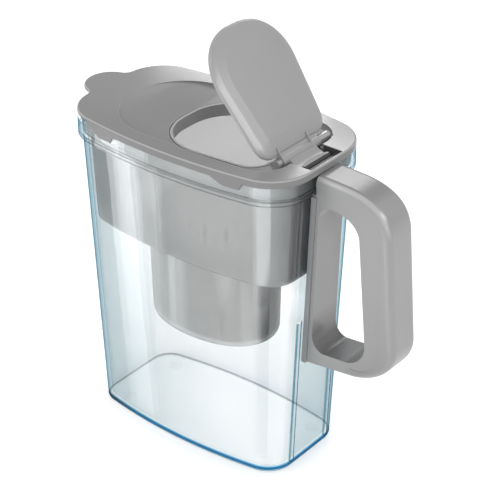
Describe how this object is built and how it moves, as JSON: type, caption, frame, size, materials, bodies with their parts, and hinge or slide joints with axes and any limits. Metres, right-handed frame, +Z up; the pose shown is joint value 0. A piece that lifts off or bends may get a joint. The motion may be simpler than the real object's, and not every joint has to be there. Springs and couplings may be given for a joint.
{
  "type": "water filter pitcher",
  "caption": "Slim clear water jug with a smoked hopper, an oval filter cartridge, a grey lid with a flip-up fill cover, and a closed-loop grey handle.",
  "frame": {"origin": "on the table under the feet, midway between the tip of the spout and the back of the handle", "axes": "+X towards the handle, -X towards the spout, +Z up, +Y to the left of someone who pours"},
  "size_m": [0.2768, 0.1158, 0.3185],
  "materials": {
    "clear": "clear moulded plastic with a faint blue tint at its edges",
    "smoke_clear": "smoked see-through plastic",
    "grey_satin": "satin mid-grey moulded plastic",
    "grey_inner": "matte grey moulded plastic",
    "cartridge_white": "smooth white moulded plastic",
    "seal_rubber": "soft grey silicone",
    "foot_pad": "clear soft silicone pad",
    "screen_fabric": "fine white mesh",
    "filter_bed": "packed beads and charcoal grains",
    "screw_steel": "plain steel screw",
    "pin_steel": "plain steel pin"
  },
  "bodies": {
    "jug": {"jug_body": "clear", "base_feet": "foot_pad", "handle_backplate": "grey_inner", "handle_inner_shell": "grey_satin", "handle_outer_shell": "grey_satin", "handle_screw": "screw_steel"},
    "hopper": {"hopper": "smoke_clear"},
    "cartridge": {"cartridge_cup": "cartridge_white", "cartridge_cap": "cartridge_white", "cartridge_seal": "seal_rubber", "lower_screen": "screen_fabric", "filter_media": "filter_bed", "upper_screen": "screen_fabric"},
    "lid": {"lid": "grey_satin", "inlet_collar": "grey_satin", "hinge_pins": "pin_steel"},
    "flip_cover": {"flip_cover": "grey_satin", "flip_cover_liner": "grey_inner"}
  },
  "joints": [
    {"name": "hopper_lift", "type": "slide", "parent": "jug", "child": "hopper", "axis": [0, 0, 1], "range_m": [0, 0.17]},
    {"name": "cartridge_lift", "type": "slide", "parent": "hopper", "child": "cartridge", "axis": [0, 0, 1], "range_m": [0, 0.036]},
    {"name": "lid_lift", "type": "slide", "parent": "hopper", "child": "lid", "axis": [0, 0, 1], "range_m": [0, 0.06]},
    {"name": "cover_hinge", "type": "hinge", "parent": "lid", "child": "flip_cover", "pos_m": [0.0475, 0, 0.242], "axis": [0, 1, 0], "range_deg": [-53.2, 36.8]}
  ]
}
